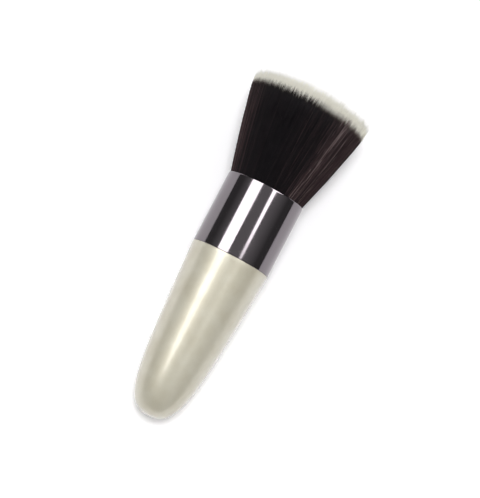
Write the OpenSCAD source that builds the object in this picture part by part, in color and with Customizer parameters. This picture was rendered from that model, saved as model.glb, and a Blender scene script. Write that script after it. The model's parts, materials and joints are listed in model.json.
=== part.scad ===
// Flat-top kabuki brush, lying on its side the way it is put down on a table.
// +X runs towards the bristle tips, +Z is up and the table is the plane Z = 0.
// Every piece is drawn upright on the brush's own axis, with Z = 0 at the
// handle's shoulder, and laid() then puts it down on the table.

/* [Ferrule] */
// Outer diameter of the drawn metal tube
ferrule_d = 28; // [22:0.5:34]
// Length from the handle's shoulder to the mouth
ferrule_len = 26; // [22:0.5:36]
// Wall of the tube
ferrule_wall = 0.4; // [0.3:0.05:0.8]
// Inner radius of the bend that turns the mouth inwards
mouth_bend = 0.2; // [0.1:0.05:0.6]

/* [Handle] */
// Length that shows, from the ferrule to the rounded butt
handle_len = 59; // [45:0.5:90]
// How far down the handle its straight barrel pulls the outline
barrel_reach = 45; // [28:1:52]
// How much the barrel has drawn in over that reach
barrel_draw = 3.1; // [0:0.1:5]
// Fullness of the rounded butt, as a radius
butt_fullness = 11.2; // [7:0.1:14]
// Thickness of the pearl lacquer over the wood
lacquer_t = 0.3; // [0.15:0.05:0.6]
// Rounding of the lacquer where it meets the ferrule
lacquer_lip = 0.25; // [0.1:0.05:0.5]

/* [Tenon joint] */
// Length of the tenon that goes up into the ferrule
tenon_len = 12; // [8:0.5:14]
// Glue film all round the tenon
glue_film = 0.15; // [0.1:0.05:0.4]
// Glue left between the tenon's end and the root plug
glue_seat = 0.5; // [0.2:0.1:1.5]
// Number of glue grooves turned in the tenon
groove_count = 3; // [1:1:4]
// Width of each glue groove
groove_w = 1.2; // [0.6:0.1:1.6]
// Depth of each glue groove
groove_depth = 0.5; // [0.2:0.1:1]
// Chamfer on the tenon's end
tenon_chamfer = 0.8; // [0.3:0.1:1.2]
// Diameter of the spindle hole that holds the handle while it is lacquered
spindle_d = 4; // [2:0.5:8]
// Depth of the spindle hole
spindle_depth = 9; // [4:0.5:16]

/* [Root plug] */
// Resin under the fibres
resin_base = 1; // [0.5:0.1:2]
// Height of the slice of root in which the fibres are fused
root_slice = 2.6; // [2.2:0.1:4]
// Thickness of the binding thread
thread_d = 0.5; // [0.3:0.05:0.7]
// Number of turns of the thread, side by side
thread_turns = 3; // [1:1:4]

/* [Tuft] */
// Length of the bristles from the ferrule's mouth to the middle of the head
tuft_len = 38; // [28:0.5:50]
// Diameter of the head across the outermost tips
head_d = 44; // [36:0.2:56]
// How much lower the rim of the head is than its middle
head_dome = 2.8; // [0:0.2:8]
// Length of the pale tips
tip_len = 5; // [2:0.5:8]
// Unevenness of the tips
tip_scatter = 0.35; // [0:0.05:1]
// Room between the outer bristles and the ferrule's mouth
mouth_gap = 0.05; // [0:0.05:0.5]
// Least room between neighbouring strands
strand_gap = 0.08; // [0.04:0.02:0.16]
// Number of strands that stand for the thousands of fibres
strand_count = 390; // [300:10:390]

/* [Hidden] */

$fn = 96;
curve_steps = 30;     // steps along the handle's outline
bend_steps = 5;       // steps round the turned-in mouth and the lacquer's lip
turn_steps = 6;       // steps round one turn of the thread
golden_angle = 180 * (3 - sqrt(5));
strand_sides = 3;
tip_share = 0.4;      // a strand's thickness at its end, beside its full thickness
dome_power = 4;       // the head is nearly flat in the middle and rounds at its rim
nearest = 1.545;      // closest pair of the sunflower pattern, times radius over root of count

// Ferrule and what fits inside it
ferrule_r = ferrule_d / 2;
bore_r = ferrule_r - ferrule_wall;
mouth_roll = ferrule_wall + mouth_bend;
mouth_r = ferrule_r - mouth_roll;

// Tenon and its glue
tenon_r = bore_r - glue_film;
groove_pitch = tenon_len / (groove_count + 1);

// Root plug, from the tenon's end upwards
plug_z = tenon_len + glue_seat;
slice_z = plug_z + resin_base;
slice_top = slice_z + root_slice;
winding_z = slice_z + (root_slice - thread_turns * thread_d) / 2;

// Head, and the sunflower pattern of strands where it leaves the mouth and at its rim
head_r = head_d / 2;
tip_z = ferrule_len + tuft_len;
rim_z = tip_z - head_dome;
function strand_r(pattern_r) = (nearest * pattern_r / sqrt(strand_count) - strand_gap) / sqrt(3);
mouth_pattern = mouth_r - mouth_gap - strand_r(mouth_r);
head_pattern = head_r - tip_share * strand_r(head_r);

// The strands run straight, so the knot is as wide as they leave it at the root
function pattern_at(z, top) =
    mouth_pattern + (head_pattern - mouth_pattern) * (z - ferrule_len) / (top - ferrule_len);
root_z = slice_top - root_slice / 4;
knot_r = pattern_at(slice_top, tip_z) + strand_r(mouth_r) + strand_gap;

// Point at share t of the handle's outline, from the shoulder to the butt, as [radius, z]
outline_poles = [
    [ferrule_r, 0],
    [ferrule_r - barrel_draw, -barrel_reach],
    [butt_fullness, -handle_len],
    [0, -handle_len]
];
function outline_at(t) =
    pow(1 - t, 3) * outline_poles[0]
    + 3 * pow(1 - t, 2) * t * outline_poles[1]
    + 3 * (1 - t) * t * t * outline_poles[2]
    + pow(t, 3) * outline_poles[3];
function outline_slope(t) =
    3 * pow(1 - t, 2) * (outline_poles[1] - outline_poles[0])
    + 6 * (1 - t) * t * (outline_poles[2] - outline_poles[1])
    + 3 * t * t * (outline_poles[3] - outline_poles[2]);

// The same point moved square to the outline, into the handle by depth
function inset_at(t, depth) =
    let (along = outline_slope(t))
    outline_at(t) + depth * [along.y, -along.x] / norm(along);
function outline(depth) = [for (i = [0:curve_steps]) inset_at(i / curve_steps, depth)];

// Outer surface of the handle, with the lacquer's lip rounded at the shoulder
function lacquer_outline() = concat(
    [for (i = [0:bend_steps])
        let (turn = 90 * i / bend_steps)
        [ferrule_r - lacquer_lip * (1 - sin(turn)), -lacquer_lip * (1 - cos(turn))]],
    [for (p = outline(0)) if (p.y < -2 * lacquer_lip) p]
);

// Height of the head's surface at a radius, before the tips are scattered
function head_z(r) = tip_z - head_dome * pow(r / head_r, dome_power);

// The table touches the rim of the head and the handle's barrel
lie = min([for (p = outline(0)) atan((head_r - p.x) / (rim_z - p.y))]);
lift = head_r * cos(lie) - rim_z * sin(lie);
far_x = max([for (r = [0:0.5:head_r]) head_z(r) * cos(lie) + r * sin(lie)]);
near_x = min([for (p = outline(0)) p.y * cos(lie) - p.x * sin(lie)]);

// Lays an upright piece on the table, centred over the middle of the whole brush
module laid() {
    translate([-(far_x + near_x) / 2, 0, lift])
        rotate([0, 90 - lie, 0])
            children();
}

// Wood under the lacquer, with the grooved tenon and its spindle hole
module handle_core() {
    skin = outline(lacquer_t);
    color("#d9b98a")
    laid()
    difference() {
        union() {
            rotate_extrude()
                polygon(concat(
                    [[0, 0], [skin[0].x, 0]],
                    [for (p = skin) if (p.y < 0) [max(p.x, 0), p.y]]
                ));
            cylinder(r = tenon_r, h = tenon_len - tenon_chamfer);
            translate([0, 0, tenon_len - tenon_chamfer])
                cylinder(r1 = tenon_r, r2 = tenon_r - tenon_chamfer, h = tenon_chamfer);
        }
        for (i = [1:groove_count])
            translate([0, 0, i * groove_pitch - groove_w / 2])
                difference() {
                    cylinder(r = tenon_r + glue_film, h = groove_w);
                    translate([0, 0, -groove_w])
                        cylinder(r = tenon_r - groove_depth, h = 3 * groove_w);
                }
        translate([0, 0, tenon_len - spindle_depth])
            cylinder(d = spindle_d, h = spindle_depth + tenon_chamfer);
    }
}

// Primer, pearl coat and clear coat as one skin round the visible handle
module handle_lacquer() {
    color("#e2e0cf")
    laid()
    rotate_extrude()
        polygon(concat(
            lacquer_outline(),
            [for (i = [curve_steps:-1:0])
                let (p = inset_at(i / curve_steps, lacquer_t))
                if (p.y < 0) [max(p.x, 0), p.y]],
            [[inset_at(0, lacquer_t).x, 0]]
        ));
}

// Glue that fills the grooves, the film round the tenon and the seat above its end
module tenon_glue() {
    inner = concat(
        [[tenon_r, 0]],
        [for (i = [1:groove_count])
            let (z = i * groove_pitch)
            each [
                [tenon_r, z - groove_w / 2],
                [tenon_r - groove_depth, z - groove_w / 2],
                [tenon_r - groove_depth, z + groove_w / 2],
                [tenon_r, z + groove_w / 2]
            ]],
        [[tenon_r, tenon_len - tenon_chamfer], [tenon_r - tenon_chamfer, tenon_len]]
    );
    color("#e8c66a")
    laid()
    rotate_extrude()
        polygon(concat(
            inner,
            [[spindle_d / 2, tenon_len], [spindle_d / 2, plug_z], [bore_r, plug_z], [bore_r, 0]]
        ));
}

// Polished metal tube with its mouth turned in
module ferrule() {
    mouth_z = ferrule_len - mouth_roll;
    color("#8d8791")
    laid()
    rotate_extrude()
        polygon(concat(
            [[bore_r, 0], [ferrule_r, 0]],
            [for (i = [0:bend_steps])
                let (turn = 90 * i / bend_steps)
                [mouth_r + mouth_roll * cos(turn), mouth_z + mouth_roll * sin(turn)]],
            [for (i = [bend_steps:-1:0])
                let (turn = 90 * i / bend_steps)
                [mouth_r + mouth_bend * cos(turn), mouth_z + mouth_bend * sin(turn)]]
        ));
}

// Side of the winding: flat against the knot, with one bulge for each turn, from the top down
function winding_side() = [
    for (i = [thread_turns - 1:-1:0])
        let (z = winding_z + (i + 0.5) * thread_d)
        each [for (j = [0:turn_steps])
            let (turn = 90 - 180 * j / turn_steps)
            if (j > 0 || i == thread_turns - 1)
            [knot_r + thread_d / 2 * (1 + cos(turn)), z + thread_d / 2 * sin(turn)]]
];

// Cast resin cup that grips the bound root and bonds it into the ferrule
module root_resin() {
    color("#c98f3a")
    laid()
    rotate_extrude()
        polygon(concat(
            [[0, plug_z], [bore_r, plug_z], [bore_r, slice_top], [knot_r, slice_top]],
            [[knot_r, winding_z + thread_turns * thread_d]],
            winding_side(),
            [[knot_r, winding_z], [knot_r, slice_z], [0, slice_z]]
        ));
}

// Turns of thread that tie the knot before it is cast
module binding_thread() {
    color("#efe9dc")
    laid()
    rotate_extrude()
        polygon(concat(
            [[knot_r, winding_z + thread_turns * thread_d]],
            winding_side(),
            [[knot_r, winding_z]]
        ));
}

// One strand's rings from the root up, each as [distance from the axis, height, strand radius]
function strand_levels(k) =
    let (
        share = sqrt((k + 0.5) / strand_count),
        top = head_z(share * head_r) + tip_scatter * (sin(k * k) - 1) / 2,
        pale = top - tip_len
    )
    [
        [share * pattern_at(root_z, top), root_z, strand_r(pattern_at(root_z, top))],
        [share * pattern_at(pale, top), pale, strand_r(pattern_at(pale, top))],
        [share * head_pattern, top, tip_share * strand_r(head_pattern)]
    ];

// The corners of a strand's ring, all turned alike so that none can cross.
// The outermost strand lies straight under the axis, on the table.
function ring_points(k, level) = [
    let (around = (k + 1 - strand_count) * golden_angle)
    for (s = [0:strand_sides - 1])
        let (turn = 360 * s / strand_sides)
        [
            level[0] * cos(around) + level[2] * cos(turn),
            level[0] * sin(around) + level[2] * sin(turn),
            level[1]
        ]
];

// Triangles of one prism of several rings, with its two ends closed
function prism_faces(first, rings) = concat(
    [[first, first + 1, first + 2]],
    [for (ring = [0:rings - 2])
        for (s = [0:strand_sides - 1])
            let (
                low = first + ring * strand_sides,
                next = (s + 1) % strand_sides
            )
            each [
                [low + s, low + strand_sides + s, low + next],
                [low + next, low + strand_sides + s, low + strand_sides + next]
            ]],
    [let (last = first + (rings - 1) * strand_sides) [last + 2, last + 1, last]]
);

// All strands between two of their levels
module strands(from, to) {
    rings = to - from + 1;
    polyhedron(
        points = [
            for (k = [0:strand_count - 1])
                let (levels = strand_levels(k))
                for (i = [from:to])
                    each ring_points(k, levels[i])
        ],
        faces = [
            for (k = [0:strand_count - 1])
                each prism_faces(k * rings * strand_sides, rings)
        ]
    );
}

// Dark fibres with pale tips, fused at the root and set to their full length
module fibre_tuft() {
    laid()
    translate([0, 0, slice_z])
    resize([0, 0, tip_z - slice_z])
    translate([0, 0, -slice_z])
    union() {
        color("#2c1f22") translate([0, 0, slice_z]) cylinder(r = knot_r, h = root_slice, $fn = 48);
        color("#2c1f22") strands(0, 1);
        color("#eee6d3") strands(1, 2);
    }
}

handle_core();
handle_lacquer();
tenon_glue();
ferrule();
root_resin();
binding_thread();
fibre_tuft();
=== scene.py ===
import json
import math

import bmesh
import bpy
from mathutils import Matrix, Vector


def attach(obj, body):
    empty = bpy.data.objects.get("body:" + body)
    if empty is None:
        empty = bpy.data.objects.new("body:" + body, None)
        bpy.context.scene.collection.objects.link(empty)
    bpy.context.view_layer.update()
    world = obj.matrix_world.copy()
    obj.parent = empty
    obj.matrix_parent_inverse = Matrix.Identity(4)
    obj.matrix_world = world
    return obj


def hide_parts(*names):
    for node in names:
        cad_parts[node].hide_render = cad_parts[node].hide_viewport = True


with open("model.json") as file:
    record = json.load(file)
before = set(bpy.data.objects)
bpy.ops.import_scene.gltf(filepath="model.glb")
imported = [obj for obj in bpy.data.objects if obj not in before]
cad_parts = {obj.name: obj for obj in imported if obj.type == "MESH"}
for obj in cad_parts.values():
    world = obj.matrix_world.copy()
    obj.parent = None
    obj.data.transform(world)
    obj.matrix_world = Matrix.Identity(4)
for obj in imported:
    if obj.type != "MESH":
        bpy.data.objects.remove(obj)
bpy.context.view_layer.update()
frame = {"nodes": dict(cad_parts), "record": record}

mm = 0.001  # every size below is in millimetres until it is multiplied by this


# Places on the brush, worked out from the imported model

collar = next(m for m in frame["record"]["mounts"] if m["name"] == "ferrule_collar")
tipWay = -Vector(collar["axis"]).normalized()  # along the brush, towards the bristle tips
collarPoint = Vector(collar["pos_m"])


def reach(node):
    # how far one CAD node reaches along the brush and out from its axis
    along, radii = [], []
    for vertex in frame["nodes"][node].data.vertices:
        fromCollar = vertex.co - collarPoint
        place = fromCollar.dot(tipWay)
        along.append(place)
        radii.append((fromCollar - place * tipWay).length)
    return dict(low=min(along), high=max(along), widest=max(radii), narrowest=min(radii))


ferrulePlaces, handlePlaces, tuftPlaces = reach("ferrule"), reach("handle_lacquer"), reach("fibre_tuft")
shoulderPlace = ferrulePlaces["low"]
shoulder = collarPoint + shoulderPlace * tipWay

ferruleRadius, mouthRadius = ferrulePlaces["widest"], ferrulePlaces["narrowest"]
ferruleLength = ferrulePlaces["high"] - shoulderPlace
handleLength = shoulderPlace - handlePlaces["low"]
rootHeight = tuftPlaces["low"] - shoulderPlace
tipHeight = tuftPlaces["high"] - shoulderPlace
headRadius = tuftPlaces["widest"]


def matrixOf(first, second, third, place):
    # from a drawing's three axes and the place of its origin
    matrix = Matrix.Identity(4)
    for column, axis in enumerate((first, second, third, place)):
        for row in range(3):
            matrix[row][column] = axis[row]
    return matrix


# Upright drawings have Z along the brush from the shoulder, and this lays them on the table
lateral = Vector((0, 1, 0))
laid = matrixOf(lateral.cross(tipWay), lateral, tipWay, shoulder)


# Small helpers

def putInScene(name, data):
    thing = bpy.data.objects.new(name, data)
    bpy.context.scene.collection.objects.link(thing)
    return thing


def toLinear(hexColour):
    values = [int(hexColour[i:i + 2], 16) / 255 for i in (1, 3, 5)]
    return [v / 12.92 if v <= 0.04045 else ((v + 0.055) / 1.055) ** 2.4 for v in values] + [1.0]


def addNode(tree, kind, settings=None, inputs=None):
    # an input takes a plain value, another node's output, or a node, which gives its first
    # output; the setting "stops" lists the places and colours of a colour ramp, and "keeps"
    # names the vectors that a geometry carries along
    node = tree.nodes.new(kind)
    for name, value in (settings or {}).items():
        if name == "stops":
            elements = node.color_ramp.elements
            while len(elements) < len(value):
                elements.new(0.5)
            for element, (place, colour) in zip(elements, value):
                element.position = place
                element.color = toLinear(colour)
        elif name == "keeps":
            for label in value:
                node.capture_items.new("VECTOR", label)
        else:
            setattr(node, name, value)
    for name, value in (inputs or {}).items():
        if isinstance(value, bpy.types.Node):
            value = value.outputs[0]
        if isinstance(value, bpy.types.NodeSocket):
            tree.links.new(value, node.inputs[name])
        else:
            node.inputs[name].default_value = value
    return node


def newMaterial(name):
    material = bpy.data.materials.new(name)
    material.use_nodes = True
    material.node_tree.nodes.clear()
    return material, material.node_tree


def newTree(name, inputs):
    tree = bpy.data.node_groups.new(name, "GeometryNodeTree")
    tree.interface.new_socket("Geometry", in_out="OUTPUT", socket_type="NodeSocketGeometry")
    for label, kind in inputs:
        tree.interface.new_socket(label, in_out="INPUT", socket_type="NodeSocket" + kind)
    return tree, tree.nodes.new("NodeGroupInput").outputs


def growPiece(name, tree, startMesh, values):
    # runs a node tree on a mesh and keeps the result as a plain mesh, laid on the table
    source = putInScene(name, startMesh)
    modifier = source.modifiers.new("grow", "NODES")
    modifier.node_group = tree
    for socket in tree.interface.items_tree:
        if socket.in_out == "INPUT" and socket.name in values:
            modifier[socket.identifier] = values[socket.name]
    bpy.context.view_layer.update()
    graph = bpy.context.evaluated_depsgraph_get()
    mesh = bpy.data.meshes.new_from_object(source.evaluated_get(graph))
    mesh.name = name
    source.modifiers.clear()
    source.data = mesh
    mesh.transform(laid)
    return source


def dress(piece, node):
    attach(piece, "root")
    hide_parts(node)


# Materials

def pearlLacquer():
    # pearl-white nitro lacquer, sprayed over primer and cleared: mica flakes give a broad
    # silky highlight under the sharper one of the clear coat, and a warm beige where it is dim
    look = dict(pearl="#d3cfbd", shade="#c9c3ae", cloudMm=6.0, flakeMm=0.35, flakeDepthMm=0.004)
    material, tree = newMaterial("pearlLacquer")
    place = addNode(tree, "ShaderNodeTexCoord").outputs["Object"]
    cloud = addNode(tree, "ShaderNodeTexNoise", inputs={
        "Vector": place, "Scale": 1 / (look["cloudMm"] * mm), "Detail": 4.0})
    colour = addNode(tree, "ShaderNodeValToRGB", {
        "stops": ((0.3, look["shade"]), (0.7, look["pearl"]))}, {"Fac": cloud})
    # real flakes are 0.05 mm across; these are drawn coarser so that they show
    flakes = addNode(tree, "ShaderNodeTexNoise", inputs={
        "Vector": place, "Scale": 1 / (look["flakeMm"] * mm), "Detail": 2.0})
    bump = addNode(tree, "ShaderNodeBump", inputs={
        "Height": flakes, "Strength": 0.12, "Distance": look["flakeDepthMm"] * mm})
    shader = addNode(tree, "ShaderNodeBsdfPrincipled", inputs={
        "Base Color": colour, "Metallic": 0.25, "Roughness": 0.38, "Coat Weight": 0.9,
        "Coat Roughness": 0.15, "Normal": bump})
    addNode(tree, "ShaderNodeOutputMaterial", inputs={"Surface": shader})
    return material


def polishedAluminium():
    # drawn aluminium tube, buffed and tinted to a gunmetal shade: mirror-like, with the
    # faintest rings left by the buffing wheel
    look = dict(metal="#7e787c", ringMm=0.5, ringDepthMm=0.0006, smearMm=6.0, smearLow=0.06, smearHigh=0.13)
    material, tree = newMaterial("polishedAluminium")
    along = addNode(tree, "ShaderNodeAttribute", {"attribute_name": "along"}).outputs["Fac"]
    rings = addNode(tree, "ShaderNodeTexNoise", {"noise_dimensions": "1D"}, {
        "W": along, "Scale": 1 / look["ringMm"], "Detail": 3.0})
    bump = addNode(tree, "ShaderNodeBump", inputs={
        "Height": rings, "Strength": 0.25, "Distance": look["ringDepthMm"] * mm})
    place = addNode(tree, "ShaderNodeTexCoord").outputs["Object"]
    smears = addNode(tree, "ShaderNodeTexNoise", inputs={
        "Vector": place, "Scale": 1 / (look["smearMm"] * mm), "Detail": 3.0})
    rough = addNode(tree, "ShaderNodeMapRange", inputs={
        "Value": smears, "From Min": 0.3, "From Max": 0.7,
        "To Min": look["smearLow"], "To Max": look["smearHigh"]})
    shader = addNode(tree, "ShaderNodeBsdfPrincipled", inputs={
        "Base Color": toLinear(look["metal"]), "Metallic": 1.0, "Roughness": rough, "Normal": bump})
    addNode(tree, "ShaderNodeOutputMaterial", inputs={"Surface": shader})
    return material


def pbtFibre():
    # tapered PBT filament, coloured an espresso brown by its dye and left undyed at the tip, the brown also
    # carrying a painted shade in the middle of the head and a painted light towards its edges: satin, so
    # each fibre draws a fine streak, and the thin tips look milky
    look = dict(darkest="#07050a", dark="#140e12", warm="#483839", lightest="#8e7f7e",
                edge="#8f8273", pale="#fffdf2", dyeStartMm=6.5, dyeEndMm=4.2)
    material, tree = newMaterial("pbtFibre")
    tone = addNode(tree, "ShaderNodeAttribute", {"attribute_name": "tone"}).outputs["Fac"]
    depth = addNode(tree, "ShaderNodeAttribute", {"attribute_name": "depth"}).outputs["Fac"]
    # the brown follows the tone, so it holds the painted shade in the middle of the head and the painted
    # light towards its edges
    dyeAndPaintedSideLight = addNode(tree, "ShaderNodeValToRGB", {"stops": (
        (0.0, look["darkest"]), (0.4, look["dark"]), (0.75, look["warm"]), (1.0, look["lightest"]))},
        {"Fac": tone})
    paleness = addNode(tree, "ShaderNodeMapRange", {"interpolation_type": "SMOOTHSTEP"}, {
        "Value": depth, "From Min": look["dyeStartMm"], "From Max": look["dyeEndMm"]})
    undyed = addNode(tree, "ShaderNodeValToRGB", {
        "stops": ((0.0, look["edge"]), (0.8, look["pale"]))}, {"Fac": paleness})
    colour = addNode(tree, "ShaderNodeMix", {"data_type": "RGBA"}, {0: paleness, 6: dyeAndPaintedSideLight, 7: undyed})
    shader = addNode(tree, "ShaderNodeBsdfPrincipled", inputs={
        "Base Color": colour.outputs[2], "Roughness": 0.45, "Specular IOR Level": 0.2})
    addNode(tree, "ShaderNodeOutputMaterial", inputs={"Surface": shader})
    return material


def grainyMaterial(name, look):
    # a mottled surface: two colours by a noise, stretched along one way where it has a grain
    material, tree = newMaterial(name)
    place = addNode(tree, "ShaderNodeTexCoord").outputs["Object"]
    stretched = addNode(tree, "ShaderNodeMapping", inputs={"Vector": place, "Scale": look["stretch"]})
    grain = addNode(tree, "ShaderNodeTexNoise", inputs={
        "Vector": stretched, "Scale": 1 / (look["grainMm"] * mm), "Detail": 4.0})
    colour = addNode(tree, "ShaderNodeValToRGB", {
        "stops": ((0.3, look["dark"]), (0.7, look["light"]))}, {"Fac": grain})
    bump = addNode(tree, "ShaderNodeBump", inputs={
        "Height": grain, "Strength": 0.4, "Distance": look["reliefMm"] * mm})
    shader = addNode(tree, "ShaderNodeBsdfPrincipled", inputs={
        "Base Color": colour, "Roughness": look["roughness"], "Coat Weight": look["gloss"], "Normal": bump})
    addNode(tree, "ShaderNodeOutputMaterial", inputs={"Surface": shader})
    return material


def lookedAt(tree):
    # 1 for what the camera or a glossy piece sees, and 0 for light that falls on something matt
    rays = addNode(tree, "ShaderNodeLightPath").outputs
    return addNode(tree, "ShaderNodeMath", {"operation": "MAXIMUM"}, {
        0: rays["Is Camera Ray"], 1: rays["Is Glossy Ray"]})


def paperSweep(lift):
    # matt white photographer's paper, lifted a little towards white where it is looked at
    look = dict(dim="#f7f6f8", bright="#f9f8fa", toothMm=2 / 3)
    material, tree = newMaterial("paperSweep")
    glow = addNode(tree, "ShaderNodeMath", {"operation": "MULTIPLY"}, {0: lookedAt(tree), 1: lift})
    place = addNode(tree, "ShaderNodeTexCoord").outputs["Object"]
    tooth = addNode(tree, "ShaderNodeTexNoise", inputs={
        "Vector": place, "Scale": 1 / (look["toothMm"] * mm)})
    colour = addNode(tree, "ShaderNodeValToRGB", {
        "stops": ((0.3, look["dim"]), (0.7, look["bright"]))}, {"Fac": tooth})
    shader = addNode(tree, "ShaderNodeBsdfPrincipled", inputs={
        "Base Color": colour, "Roughness": 0.9, "Specular IOR Level": 0.1,
        "Emission Color": toLinear("#ffffff"), "Emission Strength": glow})
    addNode(tree, "ShaderNodeOutputMaterial", inputs={"Surface": shader})
    return material


# Turned pieces: an outline of (radius, height) points, swung round the brush's axis

def turningTree():
    tree, given = newTree("turnOutline", (
        ("Geometry", "Geometry"), ("Steps Round", "Int"), ("Material", "Material")))
    size = addNode(tree, "GeometryNodeAttributeDomainSize", inputs={"Geometry": given["Geometry"]})
    columns = addNode(tree, "ShaderNodeMath", {"operation": "ADD"}, {0: given["Steps Round"], 1: 1.0})
    grid = addNode(tree, "GeometryNodeMeshGrid", inputs={
        "Size X": 1.0, "Size Y": 1.0, "Vertices X": columns, "Vertices Y": size.outputs["Point Count"]})
    position = addNode(tree, "GeometryNodeInputPosition")
    spot = addNode(tree, "ShaderNodeSeparateXYZ", inputs={0: position})
    last = addNode(tree, "ShaderNodeMath", {"operation": "SUBTRACT"}, {
        0: size.outputs["Point Count"], 1: 1.0})
    row = addNode(tree, "ShaderNodeMapRange", inputs={
        "Value": spot.outputs["Y"], "From Min": -0.5, "From Max": 0.5, "To Min": 0.0, "To Max": last})
    wholeRow = addNode(tree, "ShaderNodeMath", {"operation": "ROUND"}, {0: row})
    outline = addNode(tree, "GeometryNodeSampleIndex", {"data_type": "FLOAT_VECTOR"}, {
        "Geometry": given["Geometry"], "Index": wholeRow, "Value": position})
    around = addNode(tree, "ShaderNodeMath", {"operation": "MULTIPLY"}, {
        0: spot.outputs["X"], 1: 2 * math.pi})
    turned = addNode(tree, "ShaderNodeVectorRotate", {"rotation_type": "Z_AXIS"}, {
        "Vector": outline, "Angle": around})
    swung = addNode(tree, "GeometryNodeSetPosition", inputs={"Geometry": grid, "Position": turned})
    height = addNode(tree, "ShaderNodeSeparateXYZ", inputs={0: outline})
    inMm = addNode(tree, "ShaderNodeMath", {"operation": "MULTIPLY"}, {0: height.outputs["Z"], 1: 1 / mm})
    named = addNode(tree, "GeometryNodeStoreNamedAttribute", inputs={
        "Geometry": swung, "Name": "along", "Value": inMm})
    closed = addNode(tree, "GeometryNodeMergeByDistance", inputs={
        "Geometry": named, "Distance": 0.002 * mm})
    smooth = addNode(tree, "GeometryNodeSetShadeSmooth", inputs={"Geometry": closed})
    real = addNode(tree, "GeometryNodeRealizeInstances", inputs={"Geometry": smooth})
    finished = addNode(tree, "GeometryNodeSetMaterial", inputs={
        "Geometry": real, "Material": given["Material"]})
    addNode(tree, "NodeGroupOutput", inputs={0: finished})
    return tree


def turnPiece(name, outline, stepsRound, material):
    points = [(max(radius, 0) * mm, 0, height * mm) for radius, height in outline]
    mesh = bpy.data.meshes.new(name)
    mesh.from_pydata(points, [(i, i + 1) for i in range(len(points) - 1)], [])
    piece = growPiece(name, turnings, mesh, {"Steps Round": stepsRound, "Material": material})
    built = bmesh.new()
    built.from_mesh(piece.data)
    if built.calc_volume(signed=True) < 0:
        piece.data.flip_normals()
    built.free()
    return piece


def arc(centre, radius, start, end, steps):
    # points from start to end, in degrees, where 0 points away from the axis and 90 up the brush
    turns = [math.radians(start + (end - start) * i / steps) for i in range(steps + 1)]
    return [(centre[0] + radius * math.cos(t), centre[1] + radius * math.sin(t)) for t in turns]


def handleOutline(sizes):
    # the barrel's curve with its normals, outside from the butt up and inside back down
    shoulderRadius, length = ferruleRadius / mm, handleLength / mm
    poles = [Vector((shoulderRadius, 0)), Vector((shoulderRadius - sizes["draw"], -sizes["barrelReach"])),
             Vector((sizes["buttFullness"], -length)), Vector((0, -length))]
    outside, inside = [], []
    for i in range(sizes["steps"] + 1):
        t = i / sizes["steps"]
        weights = ((1 - t) ** 3, 3 * (1 - t) ** 2 * t, 3 * (1 - t) * t * t, t ** 3)
        slopes = (-3 * (1 - t) ** 2, 3 * (1 - t) * (1 - 3 * t), 3 * t * (2 - 3 * t), 3 * t * t)
        point = sum((w * p for w, p in zip(weights, poles)), Vector((0, 0)))
        slope = sum((w * p for w, p in zip(slopes, poles)), Vector((0, 0))).normalized()
        outside.append(point)
        inside.append(point + sizes["coat"] * Vector((slope.y, -slope.x)))
    lip = sizes["lip"]
    shown = [tuple(p) for p in outside if p.y < -2 * lip]
    hidden = [tuple(p) for p in inside if p.y < -lip]
    rounded = arc((shoulderRadius - lip, -lip), lip, 0, 90, steps=8)
    return shown[::-1] + rounded + [(hidden[0][0], 0)] + hidden


def makeHandle():
    sizes = dict(draw=3.1, barrelReach=45, buttFullness=11.2, coat=0.3, lip=0.25, steps=84, stepsRound=144)
    handle = turnPiece("pearlHandle", handleOutline(sizes), sizes["stepsRound"], pearlLacquer())
    dress(handle, "handle_lacquer")
    print("handle turned")


def makeFerrule():
    sizes = dict(wall=0.4, bend=0.2, edge=0.1, inset=0.2, steps=16, stepsRound=192)
    radius, length = ferruleRadius / mm, ferruleLength / mm
    roll = sizes["wall"] + sizes["bend"]
    rise = (length - roll - 2 * sizes["inset"]) / sizes["steps"]
    side = [(radius, sizes["inset"] + i * rise) for i in range(sizes["steps"] + 1)]
    outline = (
        [(radius - sizes["wall"], 0)]
        + arc((radius - sizes["edge"], sizes["edge"]), sizes["edge"], -90, 0, steps=5)
        + side
        + arc((radius - roll, length - roll), roll, 0, 90, steps=12)
        + arc((radius - roll, length - roll), sizes["bend"], 90, 0, steps=6)
        + [(radius - sizes["wall"], 0)])
    ferrule = turnPiece("polishedFerrule", outline, sizes["stepsRound"], polishedAluminium())
    dress(ferrule, "ferrule")
    print("ferrule turned")


# Bristles: each fibre is a thin three-sided tube whose rings are moved along its own line

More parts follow.
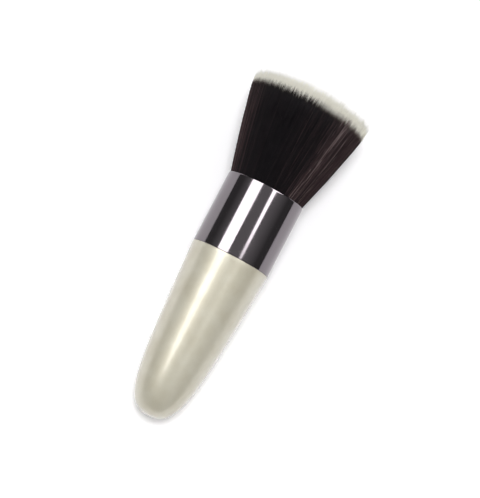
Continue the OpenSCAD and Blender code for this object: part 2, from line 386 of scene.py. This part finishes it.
def sunflowerPlaces(tree, given):
    # places over the head, from the inner share of its radius outwards, and three chances for each fibre
    number = addNode(tree, "ShaderNodeMath", {"operation": "ADD"}, {
        0: addNode(tree, "GeometryNodeInputIndex"), 1: given["First"]})
    chances = addNode(tree, "FunctionNodeRandomValue", {"data_type": "FLOAT_VECTOR"}, {
        0: (0.0, 0.0, 0.0), 1: (1.0, 1.0, 1.0), "ID": number, "Seed": given["Seed"]})
    innerArea = addNode(tree, "ShaderNodeMath", {"operation": "POWER"}, {0: given["Inner Share"], 1: 2.0})
    area = addNode(tree, "ShaderNodeMapRange", inputs={
        "Value": number, "From Min": 0.0, "From Max": given["Total"], "To Min": innerArea, "To Max": 1.0})
    share = addNode(tree, "ShaderNodeMath", {"operation": "SQRT"}, {0: area})
    goldenAngle = math.pi * (3 - 5 ** 0.5)
    angle = addNode(tree, "ShaderNodeMath", {"operation": "MULTIPLY"}, {0: number, 1: goldenAngle})
    outwards = addNode(tree, "ShaderNodeCombineXYZ", inputs={0: share})
    even = addNode(tree, "ShaderNodeVectorRotate", {"rotation_type": "Z_AXIS"}, {
        "Vector": outwards, "Angle": angle})
    # out of true by this share of the head, so that the rows of the pattern don't show
    stray = 0.03
    astray = addNode(tree, "ShaderNodeVectorMath", {"operation": "SUBTRACT"}, {
        0: chances, 1: (0.5, 0.5, 0.5)})
    pattern = addNode(tree, "ShaderNodeVectorMath", {"operation": "MULTIPLY_ADD"}, {
        0: astray, 1: (stray, stray, 0.0), 2: even})
    return pattern, chances


def tubesOnPlaces(tree, given, pattern, chances):
    # one tube on each place, whose corners keep their fibre's place and chances and their own corner
    points = addNode(tree, "GeometryNodePoints", inputs={"Count": given["Count"]})
    kept = addNode(tree, "GeometryNodeCaptureAttribute", {"keeps": ("pattern", "chances")}, {
        0: points, 1: pattern, 2: chances}).outputs
    tube = addNode(tree, "GeometryNodeMeshCylinder", {"fill_type": "NGON"}, {
        "Vertices": 3, "Side Segments": given["Rings"], "Radius": 1.0, "Depth": 1.0})
    keptTube = addNode(tree, "GeometryNodeCaptureAttribute", {"keeps": ("corner",)}, {
        0: tube, 1: addNode(tree, "GeometryNodeInputPosition")}).outputs
    spread = addNode(tree, "GeometryNodeInstanceOnPoints", inputs={
        "Points": kept[0], "Instance": keptTube[0]})
    real = addNode(tree, "GeometryNodeRealizeInstances", inputs={"Geometry": spread})
    return real, kept[1], kept[2], keptTube[1]


def fibreHeights(tree, given, wide, chance, corner):
    # the head's crown over a fibre, the fibre's own tip under it, and the height of this ring
    rounding = addNode(tree, "ShaderNodeMath", {"operation": "POWER"}, {0: wide, 1: given["Dome Power"]})
    drop = addNode(tree, "ShaderNodeMath", {"operation": "MULTIPLY"}, {0: rounding, 1: given["Dome"]})
    crown = addNode(tree, "ShaderNodeMath", {"operation": "SUBTRACT"}, {0: given["Tip Height"], 1: drop})
    shortness = addNode(tree, "ShaderNodeMath", {"operation": "POWER"}, {
        0: chance["X"], 1: given["Evenness"]})
    shorter = addNode(tree, "ShaderNodeMath", {"operation": "MULTIPLY"}, {
        0: shortness, 1: given["Scatter"]})
    top = addNode(tree, "ShaderNodeMath", {"operation": "SUBTRACT"}, {0: crown, 1: shorter})
    lowest = addNode(tree, "ShaderNodeMath", {"operation": "SUBTRACT"}, {0: top, 1: given["Shown Length"]})
    root = addNode(tree, "ShaderNodeMath", {"operation": "MAXIMUM"}, {0: lowest, 1: given["Root Height"]})
    along = addNode(tree, "ShaderNodeSeparateXYZ", inputs={0: corner}).outputs["Z"]
    height = addNode(tree, "ShaderNodeMapRange", {"clamp": False}, {
        "Value": along, "From Min": -0.5, "From Max": 0.5, "To Min": root, "To Max": top})
    return crown, top, height


def fibreLine(tree, given, pattern, chances, chance, locks, crown, height):
    # a straight fan from the ferrule's mouth to the head, bowed out a little halfway
    free = addNode(tree, "ShaderNodeMapRange", inputs={
        "Value": height, "From Min": given["Mouth Height"], "From Max": crown})
    radius = addNode(tree, "ShaderNodeMapRange", {"clamp": False}, {
        "Value": height, "From Min": given["Mouth Height"], "From Max": crown,
        "To Min": given["Mouth Radius"], "To Max": given["Head Radius"]})
    halfTurn = addNode(tree, "ShaderNodeMath", {"operation": "MULTIPLY"}, {0: free, 1: math.pi})
    arched = addNode(tree, "ShaderNodeMath", {"operation": "SINE"}, {0: halfTurn})
    radius = addNode(tree, "ShaderNodeMath", {"operation": "MULTIPLY_ADD"}, {
        0: arched, 1: given["Bulge"], 2: radius})

    # fibres lean together in small locks
    leaning = addNode(tree, "ShaderNodeMath", {"operation": "POWER"}, {0: free, 1: 2.0})
    leaning = addNode(tree, "ShaderNodeMath", {"operation": "MULTIPLY"}, {
        0: leaning, 1: given["Lock Pull"]})
    gathered = addNode(tree, "ShaderNodeMix", {"data_type": "VECTOR"}, {
        0: leaning, 4: pattern, 5: locks["Position"]}).outputs[1]
    line = addNode(tree, "ShaderNodeVectorMath", {"operation": "SCALE"}, {0: gathered, "Scale": radius})

    # a few swing across their neighbours
    swing = addNode(tree, "ShaderNodeMapRange", inputs={
        "Value": chance["Z"], "To Min": -1.0, "To Max": 1.0})
    swing = addNode(tree, "ShaderNodeMath", {"operation": "POWER"}, {0: swing, 1: 3.0})
    swing = addNode(tree, "ShaderNodeMath", {"operation": "MULTIPLY"}, {0: swing, 1: given["Swing"]})
    swing = addNode(tree, "ShaderNodeMath", {"operation": "MULTIPLY"}, {0: swing, 1: free})
    line = addNode(tree, "ShaderNodeVectorRotate", {"rotation_type": "Z_AXIS"}, {
        "Vector": line, "Angle": swing})

    # and each wavers in its own way: wavesPerMetre along it, and its noise far from its neighbours'
    wavesPerMetre, farApart = 90.0, 90.0
    waveSpot = addNode(tree, "ShaderNodeVectorMath", {"operation": "SCALE"}, {
        0: chances, "Scale": farApart})
    climb = addNode(tree, "ShaderNodeMath", {"operation": "MULTIPLY"}, {0: height, 1: wavesPerMetre})
    wave = addNode(tree, "ShaderNodeTexNoise", {"noise_dimensions": "4D"}, {
        "Vector": waveSpot, "W": climb, "Scale": 1.0, "Detail": 1.0})
    wave = addNode(tree, "ShaderNodeVectorMath", {"operation": "SUBTRACT"}, {
        0: wave.outputs["Color"], 1: (0.5, 0.5, 0.5)})
    waver = addNode(tree, "ShaderNodeMath", {"operation": "MULTIPLY"}, {0: given["Waver"], 1: free})
    waver = addNode(tree, "ShaderNodeVectorMath", {"operation": "SCALE"}, {0: wave, "Scale": waver})
    return addNode(tree, "ShaderNodeVectorMath", {"operation": "ADD"}, {0: line, 1: waver})


def tubeRound(tree, given, line, top, height, corner):
    # where a corner goes: round the fibre's line, closer to it over the last millimetres
    fromTop = addNode(tree, "ShaderNodeMath", {"operation": "SUBTRACT"}, {0: top, 1: height})
    thickness = addNode(tree, "ShaderNodeMapRange", {"interpolation_type": "SMOOTHSTEP"}, {
        "Value": fromTop, "From Min": 0.0, "From Max": given["Taper"],
        "To Min": given["Tip Thickness"], "To Max": given["Thickness"]})
    half = addNode(tree, "ShaderNodeVectorMath", {"operation": "MULTIPLY"}, {
        0: corner, 1: (0.5, 0.5, 0.0)})
    ring = addNode(tree, "ShaderNodeVectorMath", {"operation": "SCALE"}, {0: half, "Scale": thickness})
    spot = addNode(tree, "ShaderNodeVectorMath", {"operation": "ADD"}, {0: line, 1: ring})
    flat = addNode(tree, "ShaderNodeVectorMath", {"operation": "MULTIPLY"}, {0: spot, 1: (1.0, 1.0, 0.0)})
    return addNode(tree, "ShaderNodeVectorMath", {"operation": "ADD"}, {
        0: flat, 1: addNode(tree, "ShaderNodeCombineXYZ", inputs={2: height})})


def toneAndPaintedSideLight(tree, pattern, chance, locks):
    # 0 for the darkest fibres and 1 for the lightest: partly a fibre's own and partly shared in a lock; on
    # top of that a painted shade, darkest a little to +Y of the middle of the head, and a painted light
    # that grows towards either edge, most of all towards -Y
    tones = dict(own=0.5, lock=0.22, paintedShadeAt=0.3, paintedLightReach=1.25, middle=-0.25, paintedLightSides=0.4)
    lockTone = addNode(tree, "FunctionNodeSeparateColor", inputs={0: locks["Color"]})
    across = addNode(tree, "ShaderNodeSeparateXYZ", inputs={0: pattern}).outputs["Y"]
    fromPaintedShade = addNode(tree, "ShaderNodeMath", {"operation": "SUBTRACT"}, {
        0: across, 1: tones["paintedShadeAt"]})
    fromPaintedShade = addNode(tree, "ShaderNodeMath", {"operation": "ABSOLUTE"}, {0: fromPaintedShade})
    paintedSideLight = addNode(tree, "ShaderNodeMapRange", {"interpolation_type": "SMOOTHSTEP"}, {
        "Value": fromPaintedShade, "From Max": tones["paintedLightReach"],
        "To Min": tones["middle"], "To Max": tones["paintedLightSides"]})
    tone = addNode(tree, "ShaderNodeMath", {"operation": "MULTIPLY"}, {0: chance["Y"], 1: tones["own"]})
    tone = addNode(tree, "ShaderNodeMath", {"operation": "MULTIPLY_ADD"}, {
        0: lockTone, 1: tones["lock"], 2: tone})
    return addNode(tree, "ShaderNodeMath", {"operation": "ADD"}, {0: tone, 1: paintedSideLight})


def dyeDepth(tree, given, wide, chance, crown, height):
    # millimetres below the head's crown, give or take one for each fibre
    below = addNode(tree, "ShaderNodeMath", {"operation": "SUBTRACT"}, {0: crown, 1: height})
    # the dye ends deeper inside, so that the face of the head is pale from the front
    dip = addNode(tree, "ShaderNodeMapRange", {"interpolation_type": "SMOOTHSTEP"}, {
        "Value": wide, "From Min": given["Dip From"], "From Max": given["Dip To"],
        "To Min": given["Inner Dip"]})
    below = addNode(tree, "ShaderNodeMath", {"operation": "MULTIPLY"}, {0: below, 1: dip})
    uneven = addNode(tree, "ShaderNodeMapRange", inputs={
        "Value": chance["Y"], "To Min": -1.0, "To Max": 1.0})
    return addNode(tree, "ShaderNodeMath", {"operation": "MULTIPLY_ADD"}, {
        0: below, 1: 1 / mm, 2: uneven})


def fibreTree():
    tree, given = newTree("growFibres", (
        ("First", "Int"), ("Count", "Int"), ("Total", "Int"), ("Rings", "Int"), ("Seed", "Int"),
        ("Inner Share", "Float"), ("Shown Length", "Float"), ("Root Height", "Float"),
        ("Mouth Height", "Float"), ("Tip Height", "Float"), ("Mouth Radius", "Float"),
        ("Head Radius", "Float"), ("Dome", "Float"), ("Dome Power", "Float"), ("Scatter", "Float"),
        ("Evenness", "Float"), ("Thickness", "Float"), ("Tip Thickness", "Float"), ("Taper", "Float"),
        ("Lock Size", "Float"), ("Lock Pull", "Float"), ("Swing", "Float"), ("Bulge", "Float"),
        ("Waver", "Float"), ("Inner Dip", "Float"), ("Dip From", "Float"), ("Dip To", "Float"),
        ("Material", "Material")))
    tubes, pattern, chances, corner = tubesOnPlaces(tree, given, *sunflowerPlaces(tree, given))
    chance = addNode(tree, "ShaderNodeSeparateXYZ", inputs={0: chances}).outputs
    wide = addNode(tree, "ShaderNodeVectorMath", {"operation": "LENGTH"}, {0: pattern}).outputs["Value"]
    lockScale = addNode(tree, "ShaderNodeMath", {"operation": "DIVIDE"}, {
        0: given["Head Radius"], 1: given["Lock Size"]})
    locks = addNode(tree, "ShaderNodeTexVoronoi", {"voronoi_dimensions": "2D"}, {
        "Vector": pattern, "Scale": lockScale, "Randomness": 1.0}).outputs

    crown, top, height = fibreHeights(tree, given, wide, chance, corner)
    line = fibreLine(tree, given, pattern, chances, chance, locks, crown, height)
    grown = addNode(tree, "GeometryNodeSetPosition", inputs={
        "Geometry": tubes, "Position": tubeRound(tree, given, line, top, height, corner)})

    # what the fibre material reads; the tone carries the painted shade and painted light across the head as
    # well
    for name, value in (("depth", dyeDepth(tree, given, wide, chance, crown, height)),
                        ("tone", toneAndPaintedSideLight(tree, pattern, chance, locks))):
        grown = addNode(tree, "GeometryNodeStoreNamedAttribute", inputs={
            "Geometry": grown, "Name": name, "Value": value})
    smooth = addNode(tree, "GeometryNodeSetShadeSmooth", inputs={"Geometry": grown})
    ended = addNode(tree, "GeometryNodeRealizeInstances", inputs={"Geometry": smooth})
    finished = addNode(tree, "GeometryNodeSetMaterial", inputs={
        "Geometry": ended, "Material": given["Material"]})
    addNode(tree, "NodeGroupOutput", inputs={0: finished})
    return tree


def growFibres(tuft, mouth):
    bands = (
        dict(name="outerFibres", total=14000, pieces=4, rings=7, innerShare=0.86, shown=60, thick=0.15,
             seed=3),
        dict(name="headFibres", total=26000, pieces=4, rings=4, innerShare=0.0, shown=12, thick=0.15,
             seed=40))
    fibre = pbtFibre()
    grower = fibreTree()
    for band in bands:
        count = band["total"] // band["pieces"]
        for part in range(band["pieces"]):
            piece = growPiece(f"{band['name']}{part + 1}", grower, bpy.data.meshes.new("start"), {
                "First": part * count, "Count": count, "Total": band["total"], "Rings": band["rings"],
                "Inner Share": band["innerShare"], "Shown Length": band["shown"] * mm,
                "Root Height": rootHeight, "Mouth Height": ferruleLength,
                "Tip Height": tipHeight + tuft["tipsAbove"] * mm, "Mouth Radius": mouth * mm,
                "Head Radius": headRadius, "Dome": tuft["dome"] * mm, "Dome Power": tuft["domePower"],
                "Scatter": tuft["scatter"] * mm, "Evenness": tuft["evenness"],
                "Inner Dip": tuft["innerDip"], "Dip From": tuft["dipFrom"], "Dip To": tuft["dipTo"],
                "Thickness": band["thick"] * mm, "Tip Thickness": tuft["tip"] * mm,
                "Taper": tuft["taper"] * mm, "Lock Size": tuft["lockSize"] * mm,
                "Lock Pull": tuft["lockPull"], "Swing": tuft["swing"], "Bulge": tuft["bulge"] * mm,
                "Waver": tuft["waver"] * mm, "Seed": band["seed"], "Material": fibre})
            for vertex in piece.data.vertices:  # the lowest fibres lie on the table, not in it
                vertex.co.z = max(vertex.co.z, tuft["tableGap"] * mm)
            dress(piece, "fibre_tuft")
    print("fibres grown")


def turnTuftCore(tuft, mouth):
    # the inside of the tuft, turned a little smaller than the head, shows as dark gaps
    core = dict(share=0.88, below=9.0, rows=8, steps=24, stepsRound=96)
    rim = tipHeight / mm - tuft["dome"]
    low, high = rootHeight / mm, rim - core["below"]
    slope = (headRadius / mm - mouth) / (rim - ferruleLength / mm)
    heights = [low + (high - low) * i / core["rows"] for i in range(core["rows"] + 1)]
    side = [(core["share"] * (mouth + slope * (z - ferruleLength / mm)), z) for z in heights]
    turns = [math.radians(90 * i / core["steps"]) for i in range(1, core["steps"] + 1)]
    lid = [(side[-1][0] * math.cos(a), high + tuft["dome"] * math.sin(a)) for a in turns]
    mass = grainyMaterial("fibreMass", dict(
        dark="#0d090c", light="#1c1417", grainMm=0.4, stretch=(0.1, 1.0, 1.0), reliefMm=0.1,
        roughness=0.75, gloss=0.0))
    piece = turnPiece("tuftCore", [(0, low)] + side + lid, core["stepsRound"], mass)
    dress(piece, "fibre_tuft")
    print("tuft core turned")


def makeTuft():
    # lengths in millimetres; swing is in radians round the brush's axis, the power and evenness
    # have no unit, and the dips and their places are shares of the depth and of the radius
    tuft = dict(dome=2.8, domePower=4.0, scatter=5.5, evenness=0.4, innerDip=0.45, dipFrom=0.5, dipTo=0.98,
                mouthGap=0.12, lockSize=0.65, lockPull=0.35, swing=0.16, bulge=0.4, waver=0.9, taper=5.0,
                tip=0.02, tableGap=0.05, tipsAbove=0.6)
    mouth = mouthRadius / mm - tuft["mouthGap"]
    growFibres(tuft, mouth)
    turnTuftCore(tuft, mouth)


def dressHiddenParts():
    # the pieces inside keep their CAD shape and get their own materials
    finishes = {
        # birch turned on a lathe: pale and close-grained
        "handle_core": ("turnedBirch", dict(
            dark="#c49f6c", light="#e6cc9c", grainMm=1.1, stretch=(0.08, 1.0, 1.0), reliefMm=0.05,
            roughness=0.62, gloss=0.0)),
        # cured wood glue: amber, slightly cloudy, glossy where it squeezed out
        "tenon_glue": ("curedGlue", dict(
            dark="#c99b3f", light="#e6c57a", grainMm=1.4, stretch=(1.0, 1.0, 1.0), reliefMm=0.02,
            roughness=0.3, gloss=0.3)),
        # two-part epoxy poured round the root: honey brown and cloudy
        "root_resin": ("castEpoxy", dict(
            dark="#a9752c", light="#bf8a3c", grainMm=1.1, stretch=(1.0, 1.0, 1.0), reliefMm=0.03,
            roughness=0.2, gloss=0.2)),
        # polyester thread wound tight: off-white and softly fuzzy, its twist drawn as long grain
        "binding_thread": ("polyesterThread", dict(
            dark="#cfc7b4", light="#efe9da", grainMm=0.3, stretch=(1.0, 0.4, 0.4), reliefMm=0.05,
            roughness=0.8, gloss=0.0))}
    for node, (name, look) in finishes.items():
        data = frame["nodes"][node].data
        data.materials.clear()
        data.materials.append(grainyMaterial(name, look))
    print("hidden parts dressed")


# Studio

def makeCamera():
    # the photo looks almost square down on the brush, from slightly to the butt's side, and
    # the brush leans 28 degrees clockwise in a frame of 480 by 498 pixels
    view = dict(pixelMm=0.3356, distanceMm=480, towardsButt=5.4, lean=27.6, sensorMm=36,
                width=480, height=498, shoulderX=230.35, shoulderY=258.5)
    away = tipWay.cross(lateral)  # up from the table, at a right angle to the brush
    tilt = math.radians(view["towardsButt"])
    back = math.cos(tilt) * away - math.sin(tilt) * tipWay
    along = math.cos(tilt) * tipWay + math.sin(tilt) * away
    across = along.cross(back)
    lean = math.radians(view["lean"])
    up = math.cos(lean) * along - math.sin(lean) * across
    right = math.sin(lean) * along + math.cos(lean) * across
    pixel = view["pixelMm"] * mm
    aim = (shoulder + right * (view["width"] / 2 - view["shoulderX"]) * pixel
           - up * (view["height"] / 2 - view["shoulderY"]) * pixel)
    lens = bpy.data.cameras.new("camera")
    lens.sensor_fit = "HORIZONTAL"
    lens.sensor_width = view["sensorMm"]
    lens.lens = view["sensorMm"] * view["distanceMm"] / (view["pixelMm"] * view["width"])
    camera = putInScene("camera", lens)
    camera.matrix_world = matrixOf(right, up, back, aim + back * view["distanceMm"] * mm)
    bpy.context.scene.camera = camera
    print("camera set")


def stageGlow(name, mesh, strength):
    # something bright that only glossy surfaces reflect, so it gives gloss and no shadow; a pair
    # of strengths is dim at the wall's foot and lighter to the roof
    material, tree = newMaterial(name)
    if isinstance(strength, tuple):
        foot, roof = 0.8, 2.0
        place = addNode(tree, "ShaderNodeTexCoord").outputs["Object"]
        strength = addNode(tree, "ShaderNodeMapRange", inputs={
            "Value": addNode(tree, "ShaderNodeSeparateXYZ", inputs={0: place}).outputs["Z"],
            "From Min": foot, "From Max": roof, "To Min": strength[0], "To Max": strength[1]})
    glow = addNode(tree, "ShaderNodeEmission", inputs={"Strength": strength})
    addNode(tree, "ShaderNodeOutputMaterial", inputs={"Surface": glow})
    mesh.materials.append(material)
    card = putInScene(name, mesh)
    for ray in ("camera", "diffuse", "transmission", "volume_scatter", "shadow"):
        setattr(card, "visible_" + ray, False)


def hangSoftboxes(height):
    # softboxes as the ferrule shows them: metres towards the tips, and degrees to the photo's
    # right of straight up
    keyBox = ((-0.50, -27.0), (-0.35, -34.0), (-0.15, -40.0), (-0.02, -43.9), (0.07, -44.7), (1.6, -48.0),
              (1.6, -14.0), (-0.02, -14.0), (-0.15, -16.0), (-0.35, -19.0), (-0.50, -23.0))
    tipBox = ((-0.017, 24.0), (-0.011, 21.0), (0.0, 19.0), (0.02, 18.3), (0.057, 16.8), (0.95, 10.7),
              (1.50, 56.5), (0.25, 36.0), (0.07, 26.5), (-0.017, 26.5))
    buttBox = ((-0.5, 20.0), (-0.1, 20.0), (-0.1, 34.0), (-0.5, 34.0))
    for name, outline, level in (("keySoftbox", keyBox, 6.0), ("tipSoftbox", tipBox, 6.0),
                                 ("buttSoftbox", buttBox, 1.0)):
        mesh = bpy.data.meshes.new(name)
        mesh.from_pydata([(x, -height * math.tan(math.radians(angle)), height) for x, angle in outline],
                         [], [tuple(range(len(outline)))])
        stageGlow(name, mesh, level)


def buildRoom(light):
    # the dim room, and the floor past the edge of the paper, a millimetre over the table
    segments = 48
    room = bmesh.new()
    bmesh.ops.create_uvsphere(room, u_segments=segments, v_segments=segments // 2, radius=light["roomSize"])
    turns = [math.radians(360 / segments * i) for i in range(segments)]
    inner, outer = [[room.verts.new((size * math.cos(a), size * math.sin(a), 1 * mm)) for a in turns]
                    for size in (light["paperReach"], light["roomSize"])]
    for i in range(segments):
        room.faces.new((inner[i - 1], outer[i - 1], outer[i], inner[i]))
    mesh = bpy.data.meshes.new("dimRoom")
    room.to_mesh(mesh)
    room.free()
    stageGlow("dimRoom", mesh, light["room"])


def hangLamp(light):
    # a lamp almost overhead, a little to the tips, keeps the shadow close round the brush
    spot = Vector(light["lampPlace"])
    lamp = bpy.data.lights.new("overheadLamp", "AREA")
    lamp.shape = "DISK"
    lamp.size = light["lampSize"]
    lamp.energy = light["lamp"] * (math.pi * spot.length) ** 2
    box = putInScene("overheadLamp", lamp)
    box.matrix_world = Matrix.Translation(spot) @ spot.to_track_quat("Z", "Y").to_matrix().to_4x4()
    box.visible_camera = False
    box.visible_glossy = False


def layTable(light):
    far = light["tableReach"]
    mesh = bpy.data.meshes.new("table")
    mesh.from_pydata([(-far, -far, 0), (far, -far, 0), (far, far, 0), (-far, far, 0)], [], [(0, 1, 2, 3)])
    mesh.materials.append(paperSweep(light["paper"]))
    putInScene("table", mesh)


def lightWorld(fill):
    # white where it is looked at, and a softer fill where it only lights
    world = bpy.data.worlds.new("studio")
    bpy.context.scene.world = world
    world.use_nodes = True
    tree = world.node_tree
    tree.nodes.clear()
    strength = addNode(tree, "ShaderNodeMapRange", inputs={
        "Value": lookedAt(tree), "To Min": fill, "To Max": 1.0})
    sky = addNode(tree, "ShaderNodeBackground", inputs={
        "Color": toLinear("#ffffff"), "Strength": strength})
    addNode(tree, "ShaderNodeOutputWorld", inputs={"Surface": sky})


def makeStudio():
    # places, reaches and heights in metres; the rest are strengths
    light = dict(fill=0.42, lamp=0.56, lampSize=0.26, lampPlace=(0.03, 0.03, 1.0), paper=0.22,
                 paperReach=0.7, tableReach=3.0, room=(0.1, 0.36), roomSize=2.4, softboxHeight=1.0)
    hangSoftboxes(light["softboxHeight"])
    buildRoom(light)
    hangLamp(light)
    layTable(light)
    lightWorld(light["fill"])
    bpy.context.scene.view_settings.view_transform = "Standard"
    print("studio lit")


makeCamera()
turnings = turningTree()
makeHandle()
makeFerrule()
makeTuft()
dressHiddenParts()
makeStudio()
